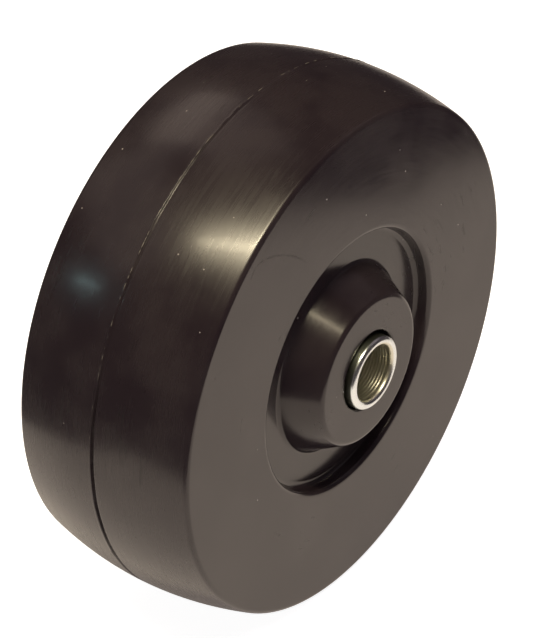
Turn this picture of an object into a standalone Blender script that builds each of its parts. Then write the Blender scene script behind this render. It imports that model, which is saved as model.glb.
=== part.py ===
"""Rubber trolley wheel on a loose steel axle sleeve.

The wheel is one moulding: crowned tread, flat side faces, a round recess in each side and a
conical hub that stands out of it. A steel tube, the axle sleeve, lies loose in the bore and
stands a little proud of both hub faces, so that a fork clamps the sleeve and the wheel turns.

Metres, +Z up. The origin is the wheel's centre and the axle runs along Y.
"""

import bpy
from math import acos, cos, pi, radians, sin, tan

# Driving dimensions of the wheel
wheel_diameter = 0.1270         # over the lips of the mould's parting line, a 5 in wheel
tread_width = 0.0453            # between the two side faces
crown_drop = 0.0033             # how much lower the tread is at its edges than at its middle
shoulder_fillet = 0.0009        # the tread's edges
parting_crease_width = 0.0004   # the moulding's seam round the middle of the tread, at its mouth
parting_crease_depth = 0.0003
parting_lip_height = 0.00015    # trimmed flash on each side of the crease, above the tread
parting_lip_width = 0.00035     # from the crease's edge out to the lip's foot
recess_depth = 0.0040           # below the side face
recess_width = 0.0089           # floor between the hub's foot and the recess wall
recess_floor_fillet = 0.0014    # where the recess wall meets the floor
hub_foot_fillet = 0.0010        # where the hub meets the recess floor
recess_rim_fillet = 0.0008      # the recess wall's edge at the side face
hub_proud = 0.0050              # hub face beyond the side face
hub_wall = 0.0085               # rubber round the bore at the hub face
hub_flare = 0.0048              # how much wider the hub is at its foot than at its face
hub_edge_fillet = 0.0008        # outer edge of the hub face
bore_mouth_chamfer = 0.0004     # edge of the bore at the hub face

# Driving dimensions of the axle sleeve
axle_diameter = 0.0127          # the half-inch axle bolt that the sleeve takes
axle_clearance = 0.0007         # on the bolt's diameter
sleeve_wall = 0.00205
sleeve_proud = 0.00175          # beyond each hub face
sleeve_end_chamfer = 0.0005     # both edges of each end
sleeve_clearance = 0.00055      # all round, between the sleeve and the wheel's bore
sleeve_drop = 0.00025           # how far the loose sleeve lies below the wheel's centre

# Smoothness of the round shapes
wheel_steps = 80
sleeve_steps = 48
crown_steps = 5                 # on each half of the tread
shoulder_steps = 3
fillet_steps = 2
merge_distance = 0.00001

# Sizes that follow from the ones above
wheel_radius = wheel_diameter / 2
half_width = tread_width / 2
sleeve_bore_radius = (axle_diameter + axle_clearance) / 2
sleeve_radius = sleeve_bore_radius + sleeve_wall
wheel_bore_radius = sleeve_radius + sleeve_clearance
hub_face_radius = wheel_bore_radius + hub_wall
hub_foot_radius = hub_face_radius + hub_flare
recess_radius = hub_foot_radius + recess_width
recess_floor = half_width - recess_depth
hub_face = half_width + hub_proud
sleeve_end = hub_face + sleeve_proud


def clear_scene():
    """Start from an empty scene."""
    for item in list(bpy.data.objects):
        bpy.data.objects.remove(item, do_unlink=True)


def new_collection(name):
    collection = bpy.data.collections.new(name)
    bpy.context.scene.collection.children.link(collection)
    return collection


def new_material(name, colour, roughness, metallic):
    """A plain finish for one piece."""
    material = bpy.data.materials.new(name)
    material.use_nodes = True
    shader = material.node_tree.nodes["Principled BSDF"]
    shader.inputs["Base Color"].default_value = (*colour, 1.0)
    shader.inputs["Roughness"].default_value = roughness
    shader.inputs["Metallic"].default_value = metallic
    material.diffuse_color = (*colour, 1.0)
    return material


def fillet(before, corner, after, radius, steps):
    """Points of an arc that rounds a profile's corner, tangent to the lines on both sides."""
    back = (before[0] - corner[0], before[1] - corner[1])
    ahead = (after[0] - corner[0], after[1] - corner[1])
    back_length = (back[0] ** 2 + back[1] ** 2) ** 0.5
    ahead_length = (ahead[0] ** 2 + ahead[1] ** 2) ** 0.5
    back = (back[0] / back_length, back[1] / back_length)
    ahead = (ahead[0] / ahead_length, ahead[1] / ahead_length)
    half_angle = acos(back[0] * ahead[0] + back[1] * ahead[1]) / 2
    reach = radius / tan(half_angle)
    middle = (back[0] + ahead[0], back[1] + ahead[1])
    middle_length = (middle[0] ** 2 + middle[1] ** 2) ** 0.5
    to_centre = radius / sin(half_angle) / middle_length
    centre = (corner[0] + middle[0] * to_centre, corner[1] + middle[1] * to_centre)
    start = (corner[0] + back[0] * reach - centre[0], corner[1] + back[1] * reach - centre[1])
    turn = pi - 2 * half_angle
    if back[0] * ahead[1] - back[1] * ahead[0] > 0:
        turn = -turn
    points = []
    for step in range(steps + 1):
        angle = turn * step / steps
        points.append((centre[0] + start[0] * cos(angle) - start[1] * sin(angle),
                       centre[1] + start[0] * sin(angle) + start[1] * cos(angle)))
    return points


def rounded(corners):
    """A profile from (radius, height, fillet, steps) corners; no fillet keeps a corner sharp."""
    points = []
    for index, (radius, height, size, steps) in enumerate(corners):
        if size > 0:
            before = corners[index - 1][:2]
            after = corners[index + 1][:2]
            points += fillet(before, (radius, height), after, size, steps)
        else:
            points.append((radius, height))
    return points


def with_mirror(upper_half):
    """A whole ring section from its upper half, which runs from the bore out to the rim."""
    lower_half = [(radius, -height) for radius, height in reversed(upper_half)]
    return upper_half + lower_half


def tread_radius(height):
    """The crowned tread: a shallow curve, highest at the middle."""
    top = wheel_radius - parting_lip_height
    return top - crown_drop * (height / half_width) ** 2


def parting_line():
    """Half the seam's section, from a lip's foot over its crest and down to the crease's bottom."""
    crease_edge = parting_crease_width / 2
    lip_foot = crease_edge + parting_lip_width
    lip_crest = crease_edge + parting_lip_width / 3
    crease_bottom = crease_edge / 3
    return [
        (tread_radius(lip_foot), lip_foot, 0, 0),
        (wheel_radius, lip_crest, 0, 0),
        (tread_radius(crease_edge), crease_edge, 0, 0),
        (tread_radius(crease_edge) - parting_crease_depth, crease_bottom, 0, 0),
    ]


def wheel_profile():
    """Half the moulding's section, from the bore's mouth out to the parting line, and its mirror."""
    corners = [
        (wheel_bore_radius, hub_face - bore_mouth_chamfer, 0, 0),
        (wheel_bore_radius + bore_mouth_chamfer, hub_face, 0, 0),
        (hub_face_radius, hub_face, hub_edge_fillet, fillet_steps),
        (hub_foot_radius, recess_floor, hub_foot_fillet, fillet_steps),
        (recess_radius, recess_floor, recess_floor_fillet, fillet_steps),
        (recess_radius, half_width, recess_rim_fillet, fillet_steps),
        (tread_radius(half_width), half_width, shoulder_fillet, shoulder_steps),
    ]
    for step in range(crown_steps - 1, 0, -1):
        height = half_width * step / crown_steps
        corners.append((tread_radius(height), height, 0, 0))
    return with_mirror(rounded(corners + parting_line()))


def sleeve_profile():
    """The tube's section, with both edges of each end chamfered."""
    chamfer = sleeve_end_chamfer
    upper_half = [
        (sleeve_bore_radius, sleeve_end - chamfer),
        (sleeve_bore_radius + chamfer, sleeve_end),
        (sleeve_radius - chamfer, sleeve_end),
        (sleeve_radius, sleeve_end - chamfer),
    ]
    return with_mirror(upper_half)


def turned(name, profile, steps, material, collection):
    """A ring turned from a closed section by a Screw modifier about its own Z axis."""
    count = len(profile)
    mesh = bpy.data.meshes.new(name)
    mesh.from_pydata([(radius, 0, height) for radius, height in profile],
                     [(index, (index + 1) % count) for index in range(count)], [])
    piece = bpy.data.objects.new(name, mesh)
    collection.objects.link(piece)
    screw = piece.modifiers.new("turn", "SCREW")
    screw.angle = 2 * pi
    screw.steps = steps
    screw.render_steps = steps
    screw.use_merge_vertices = True
    screw.merge_threshold = merge_distance
    screw.use_smooth_shade = True
    mesh.materials.append(material)
    return piece


def add_axle_line(collection):
    """The line that the wheel turns on: an empty whose local Z runs along the world's Y."""
    axle_line = bpy.data.objects.new("axle_line", None)
    axle_line.empty_display_size = sleeve_end
    axle_line.rotation_euler = (radians(-90), 0, 0)
    collection.objects.link(axle_line)
    return axle_line


def add_wheel(axle_line, collection):
    """The one-piece rubber moulding, its origin on the axle line."""
    rubber = new_material("black_rubber", (0.030, 0.028, 0.026), 0.55, 0.0)
    wheel = turned("rubber_wheel", wheel_profile(), wheel_steps, rubber, collection)
    wheel.parent = axle_line
    return wheel


def add_sleeve(axle_line, collection):
    """The loose tube. The empty's local Y points down, so the drop is along it."""
    steel = new_material("zinc_plated_steel", (0.62, 0.61, 0.58), 0.32, 1.0)
    sleeve = turned("axle_sleeve", sleeve_profile(), sleeve_steps, steel, collection)
    sleeve.parent = axle_line
    sleeve.location = (0, sleeve_drop, 0)
    return sleeve


def main():
    clear_scene()
    collection = new_collection("rubber_trolley_wheel")
    axle_line = add_axle_line(collection)
    add_wheel(axle_line, collection)
    add_sleeve(axle_line, collection)
    bpy.context.view_layer.update()


main()
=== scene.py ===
"""The looks of a rubber trolley wheel: a satin black moulding on a loose zinc-plated sleeve."""

from math import cos, pi, radians, sin

import bmesh
import bpy
from mathutils import Matrix, Vector, noise


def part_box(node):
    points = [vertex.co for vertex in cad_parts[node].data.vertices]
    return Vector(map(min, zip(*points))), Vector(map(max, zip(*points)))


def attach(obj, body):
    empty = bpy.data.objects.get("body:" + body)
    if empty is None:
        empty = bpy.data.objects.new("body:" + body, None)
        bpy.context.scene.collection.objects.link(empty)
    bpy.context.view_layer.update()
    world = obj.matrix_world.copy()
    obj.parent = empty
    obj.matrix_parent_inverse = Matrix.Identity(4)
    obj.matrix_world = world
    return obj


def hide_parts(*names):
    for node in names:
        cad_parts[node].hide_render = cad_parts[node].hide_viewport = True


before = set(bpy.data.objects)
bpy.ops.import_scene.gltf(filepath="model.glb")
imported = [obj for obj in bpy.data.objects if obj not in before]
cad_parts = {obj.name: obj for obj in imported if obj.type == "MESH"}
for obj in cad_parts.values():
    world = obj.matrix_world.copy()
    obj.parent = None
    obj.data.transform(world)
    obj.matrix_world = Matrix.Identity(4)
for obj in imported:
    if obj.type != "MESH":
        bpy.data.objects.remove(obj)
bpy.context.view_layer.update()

MM = 0.001

# Sizes taken from the frame
wheel_low, wheel_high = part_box("rubber_wheel")
sleeve_low, sleeve_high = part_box("axle_sleeve")
FLOOR_LEVEL = wheel_low.z
LIP_HEIGHT = 0.15 * MM                      # of the seam's lips, which touch the wheel's box
CROWN_TOP = wheel_high.x - LIP_HEIGHT
HUB_FACE = wheel_high.y
SLEEVE_RADIUS = sleeve_high.x
SLEEVE_END = sleeve_high.y
SLEEVE_CENTRE_Z = (sleeve_low.z + sleeve_high.z) / 2

# Sizes of the moulding that its box doesn't give
HALF_WIDTH = 22.65 * MM
CROWN_DROP = 3.3 * MM                       # how much lower the tread is at its edges
SHOULDER_FILLET = 0.9 * MM
RECESS_FLOOR = 18.85 * MM                   # from the wheel's middle plane
RECESS_RADIUS = 31.2 * MM
RECESS_FLOOR_FILLET = 1.4 * MM
RECESS_RIM_FILLET = 1.2 * MM
HUB_FACE_RADIUS = 17.8 * MM
HUB_FOOT_RADIUS = 22.55 * MM
HUB_EDGE_FILLET = 0.8 * MM
HUB_FOOT_FILLET = 0.7 * MM
BORE_RADIUS = 9.3 * MM
BORE_MOUTH = 0.7 * MM
FLAT_HOLD = 0.2 * MM                        # from a fillet's end to the point that keeps a flat flat

# The seam where the mould parted, as (y, height above the tread) in mm. Its crease comes first, and
# then the thin fin of flash
SEAM = ((-0.60, 0.0), (-0.24, 0.0), (-0.16, -0.04), (-0.13, -0.12), (0.08, -1.20), (0.22, -1.20),
        (0.39, -0.12), (0.42, -0.05), (0.48, 0.08), (0.54, 0.14), (0.60, 0.13), (0.67, 0.03),
        (0.80, 0.0), (1.20, 0.0))
SEAM_BAND = (-0.7 * MM, 1.3 * MM)           # the seam's points lie between these
SEAM_REACH = 1.5 * MM                       # and less than this below the crown's top
SEAM_WANDER = 0.10 * MM
LEVEL_WITH_TREAD = 0.02 * MM                # what is nearer than this is neither fin nor crease
FLASH_WEAR = 0.14 * MM
FLASH_WORN_SHARE = 0.42
CREASE_BAND = (-0.3 * MM, 0.9 * MM)         # the points that move aside where the crease opens
CREASE_MIDDLE = 0.15 * MM
CREASE_OPENING = (-0.06 * MM, 0.37 * MM)    # how far its two sides move
SHALLOW_SHARE = 0.22                        # of the crease's depth, away from its deep stretch
DEEPEST_TURN = radians(198)
DEEP_STRETCH = radians(20)                  # to each side of the deepest place
FADING_STRETCH = radians(42)

# Thin arcs scuffed into the front face: a circle's centre (x, z) and radius in mm, and the angles in
# degrees where the arc starts and ends
SCRATCHES = (((-39.8, 15.8), 30.3, 42, 76), ((-33.6, 41.5), 3.7, 75, 166),
             ((-43.5, 2.0), 23.7, 88, 108), ((-35.5, 5.5), 5.8, 144, 184))

# Sizes of the sleeve
SLEEVE_BORE = 6.7 * MM
END_ROUNDING = 0.9 * MM
PLAIN_END = 1.3 * END_ROUNDING              # the least length of bore without ridges, at each end
RIDGE_PITCH = 0.75 * MM
RIDGE_HEIGHT = 0.11 * MM
RIDGE = ((0.0, 0.0), (0.25, 0.5), (0.5, 1.0), (0.75, 0.5))  # as shares of the pitch and the height

# Smoothness of the round shapes
WHEEL_STEPS = 384
WHEEL_EDGE_SEGMENTS = 7
SLEEVE_STEPS = 144
SLEEVE_EDGE_SEGMENTS = 6
CROWN_STEPS = 14
MERGE_DISTANCE = 0.001 * MM

# Where one finish passes into the next: radii, and then distances from the wheel's middle plane
TREAD_STARTS = (59.3 * MM, 60.3 * MM)
HUB_STOPS = (22.0 * MM, 23.0 * MM)
BORE_STOPS = (6.9 * MM, 7.4 * MM)
FRONT_FACE_STOPS = (-22.5 * MM, -22.0 * MM)
SLEEVE_END_STARTS = (28.5 * MM, 28.9 * MM)

# Colours of the finishes
DARK_RUBBER = (0.0105, 0.0068, 0.0088, 1)
PALE_RUBBER = (0.0170, 0.0125, 0.0140, 1)
TORN_FLASH = (0.13, 0.12, 0.10, 1)
SCUFFED_RUBBER = (0.006, 0.0045, 0.005, 1)
DUST = (0.34, 0.31, 0.29, 1)
# Painted light on the sleeve: the pale end colour stands in for a bright reflection, and the dark side
# colour is painted shade that dims its reflection
SHADED_SIDE_PLATE = ((0.19, 0.215, 0.19, 1), (0.33, 0.345, 0.30, 1))
LIT_END_PLATE = ((0.87, 0.94, 1.0, 1), (0.96, 1.0, 1.0, 1))
STAINED_PLATE = ((0.68, 0.67, 0.56, 1), (0.90, 0.88, 0.78, 1))

# The long lamp overhead, in metres: each length's name, its start and end along the lamp, its
# distance aside, its width, and its radiance
KEY_MIDDLE = Vector((-0.424, -0.068, 1.0))
KEY_AZIMUTH = 23.2
KEY_COLOUR = (1.0, 0.87, 0.60)
KEY_LENGTHS = (("key_tail", -0.385, -0.30, 0.0, 0.07, 44.0),
               ("key_back", -0.30, -0.22, 0.0, 0.07, 52.0),
               ("key_middle", -0.22, -0.015, 0.0, 0.07, 62.0),
               ("key_front", -0.015, 0.33, 0.0, 0.07, 120.0),
               ("key_end", 0.42, 0.58, -0.03, 0.05, 19.0),
               ("key_side", 0.10, 0.355, 0.20, 0.30, 5.0))

# The dim panels: each one's name, azimuth and elevation, the azimuth of its long side, how far that
# side is tilted in radians, its width and height in metres, its radiance and its colour
PANEL_DISTANCE = 1.2
DIM_PANELS = (("back_panel", 152.7, 43.5, 242.7, 0.423, 0.54, 0.27, 1.2, (1.0, 0.82, 0.70)),
              ("upper_panel", 147.6, 61.7, 242.7, 0.0, 0.50, 0.50, 0.37, (1.0, 0.82, 0.75)),
              ("left_panel", -155, 42, 115, 0.0, 1.0, 0.55, 0.45, (1.0, 0.82, 0.72)),
              ("right_panel", 65, 45, -25, 0.0, 0.8, 0.8, 0.12, (1.0, 0.82, 0.85)))

# The white sheet that the rubber reflects: its corners in metres, as distances along its azimuth and
# along the direction 90 degrees further round
SHEET_AZIMUTH = 29.7
SHEET_CORNERS = ((-0.138, -0.159), (0.167, -0.159), (0.167, 0.047), (0.162, 0.072), (0.172, 0.094),
                 (0.172, 0.40), (-0.138, 0.40))
SHEET_LIFT = 0.05 * MM
FLOOR_REACH = 20.0


def compass(azimuth, elevation):
    """A direction, where azimuth 0 is towards -Y and 90 towards +X."""
    a, e = radians(azimuth), radians(elevation)
    return Vector((sin(a) * cos(e), -cos(a) * cos(e), sin(e)))


def add_camera():
    """The photograph's viewing angle: level, from the left and above, with a long lens."""
    distance = 0.7444
    slide_right, slide_up = 0.05 * MM, 1.99 * MM
    focal_in_pixels, long_side, sensor = 3308.0, 638.0, 36.0
    back = compass(-53.95, 35.01)
    right = Vector((0, 0, 1)).cross(back).normalized()
    up = back.cross(right)
    data = bpy.data.cameras.new("photo_camera")
    data.sensor_width = sensor
    data.lens = focal_in_pixels * sensor / long_side
    data.clip_start, data.clip_end = 0.05, 50
    camera = bpy.data.objects.new("photo_camera", data)
    turn = Matrix((right, up, back)).transposed()
    place = back * distance + right * slide_right + up * slide_up
    camera.matrix_world = Matrix.Translation(place) @ turn.to_4x4()
    bpy.context.scene.collection.objects.link(camera)
    bpy.context.scene.camera = camera


def spun_ring(section, steps):
    """A closed section of (radius, y) corners, spun once round the axle's line."""
    shape = bmesh.new()
    corners = [shape.verts.new((radius, y, 0)) for radius, y in section]
    sides = [shape.edges.new((corners[i - 1], corners[i])) for i in range(len(corners))]
    bmesh.ops.spin(shape, geom=corners + sides, cent=(0, 0, 0), axis=(0, 1, 0), angle=2 * pi,
                   steps=steps, use_merge=True)
    bmesh.ops.remove_doubles(shape, verts=shape.verts, dist=MERGE_DISTANCE)
    bmesh.ops.recalc_face_normals(shape, faces=shape.faces)
    return shape


def ring_radius(vert):
    """A vertex's distance from the axle's line."""
    return Vector((vert.co.x, vert.co.z)).length


def round_ring_edge(shape, radius, y, fillet, segments):
    """Rounds the ring-shaped edge at that radius and y."""
    near = 0.01 * MM
    ring = {vert for vert in shape.verts
            if abs(ring_radius(vert) - radius) < near and abs(vert.co.y - y) < near}
    edges = [edge for edge in shape.edges if edge.verts[0] in ring and edge.verts[1] in ring]
    bmesh.ops.bevel(shape, geom=edges, offset=fillet, offset_type="OFFSET", affect="EDGES",
                    segments=segments, profile=0.5, material=-1, clamp_overlap=False)


def finished_piece(name, shape, material):
    """The object of a shape, shaded smooth, at the origin."""
    mesh = bpy.data.meshes.new(name)
    shape.to_mesh(mesh)
    shape.free()
    mesh.shade_smooth()
    mesh.materials.append(material)
    piece = bpy.data.objects.new(name, mesh)
    bpy.context.scene.collection.objects.link(piece)
    return piece


def tread_radius(y):
    """The crowned tread, highest at the middle."""
    return CROWN_TOP - CROWN_DROP * (y / HALF_WIDTH) ** 2


def smooth_step(value, low, high):
    """0 below low, 1 above high, and a smooth rise between them."""
    share = min(max((value - low) / (high - low), 0), 1)
    return share * share * (3 - 2 * share)


def waver(outward, strength, frequency, shift=(0, 0, 0)):
    """Noise that depends on the direction from the axle alone."""
    return strength * noise.noise(outward * frequency + Vector(shift))


def wear_seam(shape):
    """Wears the flash unevenly, lets the crease wander, and opens and deepens it over one stretch."""
    deepest = Vector((cos(DEEPEST_TURN), 0, sin(DEEPEST_TURN)))
    for vert in shape.verts:
        radius = ring_radius(vert)
        if not SEAM_BAND[0] < vert.co.y < SEAM_BAND[1] or radius < CROWN_TOP - SEAM_REACH:
            continue
        outward = Vector((vert.co.x, 0, vert.co.z)) / radius
        height = radius - tread_radius(vert.co.y)
        nearness = smooth_step(outward.dot(deepest), cos(FADING_STRETCH), cos(DEEP_STRETCH))
        if height > LEVEL_WITH_TREAD:
            ragged = waver(outward, strength=0.7, frequency=24)
            ragged += waver(outward, strength=1.8, frequency=60)
            worn = FLASH_WEAR * (FLASH_WORN_SHARE + ragged + nearness)
            vert.co -= outward * height * min(max(worn / LIP_HEIGHT, 0), 1)
        elif height < -LEVEL_WITH_TREAD:
            depth_share = SHALLOW_SHARE + (1 - SHALLOW_SHARE) * nearness
            uneven = waver(outward, strength=0.25, frequency=17, shift=(5, 0, 0))
            vert.co -= outward * height * (1 - depth_share * (1 + uneven))
        if CREASE_BAND[0] < vert.co.y < CREASE_BAND[1]:
            near_side, far_side = CREASE_OPENING
            opening = far_side if vert.co.y > CREASE_MIDDLE else near_side
            vert.co.y += opening * nearness
        vert.co.y += waver(outward, strength=SEAM_WANDER, frequency=9, shift=(0, 3, 0))


def held(corners):
    """A section with a point on both sides of each corner that gets rounded, so flats shade flat."""
    section = []
    for index, (radius, y, fillet) in enumerate(corners):
        corner = Vector((radius, y))
        if fillet:
            before = Vector(corners[index - 1][:2]) - corner
            after = Vector(corners[(index + 1) % len(corners)][:2]) - corner
            reach = fillet + FLAT_HOLD
            section.append(corner + before.normalized() * reach)
            section.append(corner)
            section.append(corner + after.normalized() * reach)
        else:
            section.append(corner)
    return section


def add_wheel():
    """The one-piece moulding, with its fillets and the crease where the mould parted."""
    rounded = [(BORE_RADIUS, HUB_FACE, BORE_MOUTH), (HUB_FACE_RADIUS, HUB_FACE, HUB_EDGE_FILLET),
               (HUB_FOOT_RADIUS, RECESS_FLOOR, HUB_FOOT_FILLET),
               (RECESS_RADIUS, RECESS_FLOOR, RECESS_FLOOR_FILLET),
               (RECESS_RADIUS, HALF_WIDTH, RECESS_RIM_FILLET),
               (tread_radius(HALF_WIDTH), HALF_WIDTH, SHOULDER_FILLET)]
    crown = [(tread_radius(HALF_WIDTH * step / CROWN_STEPS), HALF_WIDTH * step / CROWN_STEPS, 0)
             for step in range(CROWN_STEPS - 1, 0, -1)]
    seam = [(tread_radius(y * MM) + height * MM, y * MM, 0) for y, height in SEAM]
    half = rounded + crown
    section = held([(radius, -y, fillet) for radius, y, fillet in half] + seam + half[::-1])
    shape = spun_ring(section, WHEEL_STEPS)
    for radius, y, fillet in rounded:
        for side in (-1, 1):
            round_ring_edge(shape, radius, side * y, fillet, WHEEL_EDGE_SEGMENTS)
    wear_seam(shape)
    wheel = finished_piece("moulded_wheel", shape, rubber_material())
    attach(wheel, "wheel")
    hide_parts("rubber_wheel")


def ridged_bore():
    """The sleeve's bore as (radius, y) corners, with a row of fine ridges between its plain ends."""
    count = int(2 * (SLEEVE_END - PLAIN_END) / RIDGE_PITCH)
    start = -count * RIDGE_PITCH / 2
    return [(SLEEVE_BORE + RIDGE_HEIGHT * height, start + index * RIDGE_PITCH + RIDGE_PITCH * along)
            for index in range(count) for along, height in RIDGE]


def add_sleeve():
    """The loose tube, with rounded ends and a finely ridged bore."""
    flat_end = SLEEVE_END - END_ROUNDING - FLAT_HOLD
    outside = [(SLEEVE_RADIUS, y) for y in (SLEEVE_END, flat_end, -flat_end, -SLEEVE_END)]
    section = outside + [(SLEEVE_BORE, -SLEEVE_END)] + ridged_bore() + [(SLEEVE_BORE, SLEEVE_END)]
    shape = spun_ring(section, SLEEVE_STEPS)
    for side in (-1, 1):
        for radius in (SLEEVE_RADIUS, SLEEVE_BORE):
            round_ring_edge(shape, radius, side * SLEEVE_END, END_ROUNDING, SLEEVE_EDGE_SEGMENTS)
    bmesh.ops.translate(shape, verts=shape.verts, vec=(0, 0, SLEEVE_CENTRE_Z))
    sleeve = finished_piece("plated_sleeve", shape, plated_steel_material())
    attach(sleeve, "sleeve")
    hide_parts("axle_sleeve")


class Nodes:
    """A material's node tree, built a step at a time; each step gives back its output socket."""

    def __init__(self, name):
        self.material = bpy.data.materials.new(name)
        self.material.use_nodes = True
        self.tree = self.material.node_tree

    def fill(self, node, inputs):
        """Links or sets a node's inputs, each given by its name or number."""
        for key, value in inputs.items():
            if isinstance(value, bpy.types.NodeSocket):
                self.tree.links.new(value, node.inputs[key])
            else:
                node.inputs[key].default_value = value

    def add(self, kind, inputs, **settings):
        """A new node's outputs."""
        node = self.tree.nodes.new(kind)
        for name, value in settings.items():
            setattr(node, name, value)
        self.fill(node, inputs)
        return node.outputs

    def finish(self, inputs):
        """The material, once its surface has these inputs."""
        self.fill(self.tree.nodes["Principled BSDF"], inputs)
        return self.material

    def maths(self, operation, *values):
        return self.add("ShaderNodeMath", dict(enumerate(values)), operation=operation)[0]

    def vector(self, operation, *values):
        """Vector arithmetic whose result is a vector."""
        return self.add("ShaderNodeVectorMath", dict(enumerate(values)), operation=operation)["Vector"]

    def measure(self, operation, *values):
        """Vector arithmetic whose result is a number."""
        return self.add("ShaderNodeVectorMath", dict(enumerate(values)), operation=operation)["Value"]

    def split(self, vector):
        return self.add("ShaderNodeSeparateXYZ", {0: vector})

    def join(self, x, y, z):
        return self.add("ShaderNodeCombineXYZ", {"X": x, "Y": y, "Z": z})[0]

    def ramp(self, value, low, high, start=0.0, end=1.0):
        """A smooth step from start to end, as value goes from low to high."""
        return self.add("ShaderNodeMapRange", {"Value": value, "From Min": low, "From Max": high,
                                               "To Min": start, "To Max": end},
                        interpolation_type="SMOOTHSTEP")[0]

    def noise(self, place, scale, detail=2.0, roughness=0.5):
        return self.add("ShaderNodeTexNoise", {"Vector": place, "Scale": scale, "Detail": detail,
                                               "Roughness": roughness})[0]

    def blend(self, share, first, second):
        """A colour between the first and the second."""
        return self.add("ShaderNodeMix", {0: share, 6: first, 7: second}, data_type="RGBA")[2]

    def vary(self, base, pattern, strength):
        """The base, raised and lowered by a pattern whose middle is a half."""
        return self.maths("MULTIPLY_ADD", self.maths("SUBTRACT", pattern, 0.5), strength, base)

    def bump(self, height, strength, distance):
        return self.add("ShaderNodeBump", {"Strength": strength, "Distance": distance,
                                           "Height": height})[0]


def round_the_axle(nodes, along, across):
    """Coordinates that run slowly round the axle and fast across the tread, the faces and the hub."""
    place = nodes.add("ShaderNodeTexCoord", {})["Object"]
    x, y, z = nodes.split(place)
    flat = nodes.join(x, 0.0, z)
    radius = nodes.measure("LENGTH", flat)
    outward = nodes.split(nodes.vector("NORMALIZE", flat))
    profile = nodes.maths("ADD", radius, y)
    turned = nodes.join(nodes.maths("MULTIPLY", outward[0], along),
                        nodes.maths("MULTIPLY", profile, across),
                        nodes.maths("MULTIPLY", outward[2], along))
    return place, turned, radius, y


def scratch(nodes, place, centre, size, start, end):
    """A thin broken arc on the front face: its circle's centre and radius in mm, and its end angles."""
    middle, half = radians((start + end) / 2), radians(abs(end - start) / 2)
    from_centre = nodes.vector("SUBTRACT", place, (centre[0] * MM, 0.0, centre[1] * MM))
    x, y, z = nodes.split(from_centre)
    flat = nodes.join(x, 0.0, z)
    distance = nodes.maths("SUBTRACT", nodes.measure("LENGTH", flat), size * MM)
    core, edge = 0.10 * MM, 0.40 * MM
    line = nodes.ramp(nodes.maths("ABSOLUTE", distance), core, edge, start=0.8, end=0.0)
    arc_middle = (cos(middle), 0.0, sin(middle))
    facing = nodes.measure("DOT_PRODUCT", nodes.vector("NORMALIZE", flat), arc_middle)
    gone, full = cos(half * 1.1), cos(half * 0.8)
    within = nodes.ramp(facing, gone, full)
    on_front = nodes.ramp(y, *FRONT_FACE_STOPS, start=1.0, end=0.0)
    broken = nodes.ramp(nodes.noise(place, scale=260.0), 0.28, 0.50)
    return nodes.maths("MULTIPLY", nodes.maths("MULTIPLY", line, within),
                       nodes.maths("MULTIPLY", on_front, broken))


def scuffed_places(nodes, place, turned):
    """Where the rubber is scuffed: patches of fine rubs round the wheel, and arcs on the front face."""
    rubs = nodes.noise(nodes.vector("MULTIPLY", turned, (1.3, 0.8, 1.3)), scale=1.0, roughness=0.6)
    patches = nodes.ramp(nodes.noise(place, scale=38.0, detail=1.0), 0.50, 0.62)
    scuffs = nodes.maths("MULTIPLY", nodes.ramp(rubs, 0.60, 0.72), patches)
    for centre, size, start, end in SCRATCHES:
        scuffs = nodes.maths("MAXIMUM", scuffs, scratch(nodes, place, centre, size, start, end))
    return scuffs


def dusty_places(nodes, place):
    """Where the dust lies: a small dot in a few of the pattern's cells."""
    cells = nodes.add("ShaderNodeTexVoronoi", {"Vector": place, "Scale": 400.0})
    chosen = nodes.ramp(nodes.split(cells["Color"])[0], 0.935, 0.94)
    dot = nodes.ramp(cells["Distance"], 0.03, 0.09, start=1.0, end=0.0)
    return nodes.maths("MULTIPLY", dot, chosen)


def torn_places(nodes, place, radius, y):
    """Where the seam's fin stands above the tread and is torn pale."""
    crown = nodes.maths("MULTIPLY_ADD", nodes.maths("MULTIPLY", y, y), -CROWN_DROP / HALF_WIDTH ** 2,
                        CROWN_TOP)
    raised = nodes.ramp(nodes.maths("SUBTRACT", radius, crown), LEVEL_WITH_TREAD, 0.09 * MM)
    torn = nodes.ramp(nodes.noise(place, scale=500.0), 0.45, 0.60)
    return nodes.maths("MULTIPLY", raised, torn)


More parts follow.
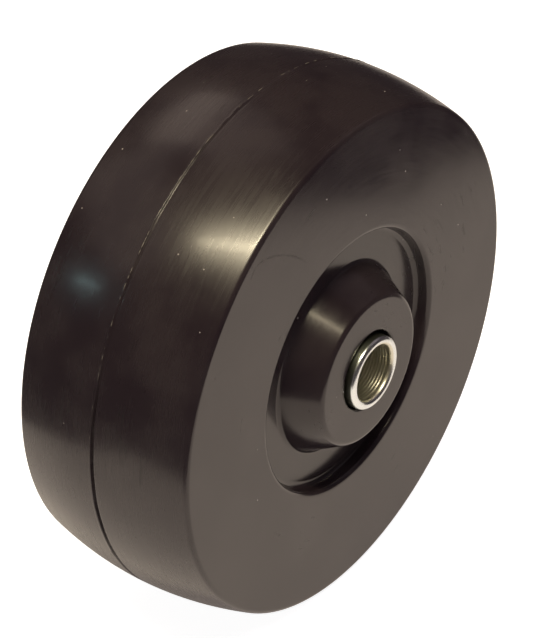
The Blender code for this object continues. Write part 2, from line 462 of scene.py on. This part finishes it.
def rubber_material():
    """Satin black rubber: fine streaks round the wheel, faint scuffs on the faces and a little dust."""
    nodes = Nodes("black_rubber_finish")
    place, turned, radius, y = round_the_axle(nodes, along=5.0, across=1100.0)
    on_tread = nodes.ramp(radius, *TREAD_STARTS)
    streaks = nodes.noise(turned, scale=1.0, detail=3.0, roughness=0.6)
    smudges = nodes.noise(place, scale=55.0, detail=3.0, roughness=0.55)
    grain = nodes.noise(place, scale=2600.0, detail=1.0)
    scuffs = scuffed_places(nodes, place, turned)
    dust = dusty_places(nodes, place)
    flash = torn_places(nodes, place, radius, y)

    colour = nodes.blend(nodes.ramp(smudges, 0.35, 0.65), DARK_RUBBER, PALE_RUBBER)
    colour = nodes.blend(flash, colour, TORN_FLASH)
    colour = nodes.blend(nodes.maths("MULTIPLY", scuffs, 0.5), colour, SCUFFED_RUBBER)
    colour = nodes.blend(dust, colour, DUST)

    on_hub = nodes.ramp(radius, *HUB_STOPS, start=0.04, end=0.0)
    roughness = nodes.maths("ADD", nodes.ramp(on_tread, 0.0, 1.0, start=0.18, end=0.265), on_hub)
    roughness = nodes.vary(roughness, streaks, strength=0.13)
    roughness = nodes.vary(roughness, smudges, strength=0.12)
    for marks, added in ((scuffs, 0.12), (flash, 0.12), (dust, 0.5)):
        roughness = nodes.maths("MULTIPLY_ADD", marks, added, roughness)

    streak_depth = nodes.ramp(on_tread, 0.0, 1.0, start=0.25, end=1.0)
    relief = nodes.maths("MULTIPLY_ADD", grain, 0.10, nodes.maths("MULTIPLY", streaks, streak_depth))
    return nodes.finish({"Base Color": colour, "Roughness": roughness,
                         "Normal": nodes.bump(relief, strength=0.35, distance=0.03 * MM),
                         "IOR": 1.5, "Coat Weight": 0.10, "Coat Roughness": 0.12})


def plated_steel_material():
    """Zinc plate, smoother on the ends and yellower in the bore; its pale ends are a painted highlight,
    and its dark outside is painted shade.
    """
    nodes = Nodes("zinc_plate_finish")
    place, turned, radius, y = round_the_axle(nodes, along=2.0, across=5000.0)
    in_bore = nodes.ramp(radius, *BORE_STOPS, start=1.0, end=0.0)
    on_end = nodes.ramp(nodes.maths("ABSOLUTE", y), *SLEEVE_END_STARTS)
    marks = nodes.noise(turned, scale=1.0, roughness=0.6)
    patches = nodes.noise(place, scale=420.0, detail=3.0, roughness=0.6)

    # Painted light: a shaded copy of the plate on the outside and a lit copy on the ends
    outside = nodes.blend(on_end, nodes.blend(patches, *SHADED_SIDE_PLATE), nodes.blend(patches, *LIT_END_PLATE))
    colour = nodes.blend(in_bore, outside, nodes.blend(patches, *STAINED_PLATE))
    smoothness = nodes.ramp(on_end, 0.0, 1.0, start=0.30, end=0.20)
    roughness = nodes.ramp(in_bore, 0.0, 1.0, start=smoothness, end=0.33)
    return nodes.finish({"Base Color": colour, "Metallic": 1.0,
                         "Roughness": nodes.maths("MULTIPLY_ADD", marks, 0.10, roughness),
                         "Normal": nodes.bump(marks, strength=0.4, distance=0.01 * MM)})


def panel_light(name, place, width, height, radiance, colour, long_axis, back=None):
    """A rectangular light, its width along long_axis; it faces the wheel where no back is given."""
    data = bpy.data.lights.new(name, "AREA")
    data.shape = "RECTANGLE"
    data.size, data.size_y = width, height
    data.energy = radiance * pi * width * height
    data.color = colour
    light = bpy.data.objects.new(name, data)
    back = back or place.normalized()
    across = (long_axis - back * long_axis.dot(back)).normalized()
    up = back.cross(across)
    light.matrix_world = Matrix.Translation(place) @ Matrix((across, up, back)).transposed().to_4x4()
    bpy.context.scene.collection.objects.link(light)
    return light


def add_key_lamp():
    """The long yellowish lamp overhead, in five lengths with a dim panel beside them."""
    overhead = Vector((0, 0, 1))
    along_lamp = compass(KEY_AZIMUTH, 0)
    beside_lamp = overhead.cross(along_lamp)
    for name, start, end, aside, width, radiance in KEY_LENGTHS:
        place = KEY_MIDDLE + along_lamp * (start + end) / 2 + beside_lamp * aside
        panel_light(name, place, end - start, width, radiance, KEY_COLOUR, along_lamp, overhead)


def add_dim_panels():
    """Four dim panels, whose faint broad reflections lie on the tread and the hub."""
    for name, azimuth, elevation, side_azimuth, tilt, width, height, radiance, colour in DIM_PANELS:
        towards, side = compass(azimuth, elevation), compass(side_azimuth, 0)
        long_side = side * cos(tilt) + towards.cross(side) * sin(tilt)
        panel_light(name, towards * PANEL_DISTANCE, width, height, radiance, colour, long_side)


def add_far_tube():
    """A far bluish tube, which makes the small spot on the tread."""
    distance = 2.5
    one_end, other_end = compass(-146.9, 15.2), compass(-133.8, 21.8)
    panel_light("far_tube", compass(-139.5, 19.2) * distance, width=0.45, height=0.04, radiance=18.0,
                colour=(0.64, 0.95, 0.96), long_axis=other_end - one_end)


def add_soft_fill():
    """A soft light from above that the surfaces don't mirror."""
    distance = 1.5
    fill = panel_light("soft_fill", compass(-30, 64) * distance, width=0.8, height=0.8, radiance=4.0,
                       colour=(1.0, 0.82, 0.92), long_axis=compass(60, 0))
    fill.visible_glossy = False


def glowing_card(name, corners, colour, glow):
    """A flat matt card that gives off a little light of its own."""
    shape = bmesh.new()
    shape.faces.new([shape.verts.new(corner) for corner in corners])
    paint = Nodes(name + "_paint").finish({"Base Color": (*colour, 1), "Roughness": 1.0,
                                           "Specular IOR Level": 0.0, "Emission Color": (*glow, 1),
                                           "Emission Strength": 1.0})
    card = finished_piece(name, shape, paint)
    return card


def add_floor():
    """The pale floor, which nothing mirrors."""
    low, high = -FLOOR_REACH, FLOOR_REACH
    corners = [(x, y, FLOOR_LEVEL) for x, y in ((low, low), (high, low), (high, high), (low, high))]
    floor = glowing_card("floor", corners, colour=(0.60, 0.60, 0.60), glow=(0.95, 0.95, 0.95))
    floor.visible_glossy = False


def add_white_sheet():
    """The white sheet on the floor, which is seen only as a reflection; its glow is painted light."""
    towards, along = compass(SHEET_AZIMUTH, 0), compass(SHEET_AZIMUTH + 90, 0)
    lift = Vector((0, 0, FLOOR_LEVEL + SHEET_LIFT))
    corners = [towards * u + along * v + lift for u, v in SHEET_CORNERS]
    # Painted light: the sheet's glow adds to the lamps' light and fills the wheel's shadow on it
    sheet = glowing_card("white_sheet", corners, colour=(0.49, 0.485, 0.50), glow=(0.30, 0.258, 0.222))
    sheet.visible_camera = False
    sheet.visible_diffuse = False
    sheet.visible_shadow = False


def add_world():
    """A dim reddish surround."""
    world = bpy.data.worlds.new("studio")
    bpy.context.scene.world = world
    world.use_nodes = True
    background = world.node_tree.nodes["Background"]
    background.inputs["Color"].default_value = (1.0, 0.8, 0.85, 1)
    background.inputs["Strength"].default_value = 0.045


bpy.context.scene.view_settings.view_transform = "Standard"
add_camera()
add_wheel()
add_sleeve()
add_floor()
add_white_sheet()
add_key_lamp()
add_dim_panels()
add_far_tube()
add_soft_fill()
add_world()
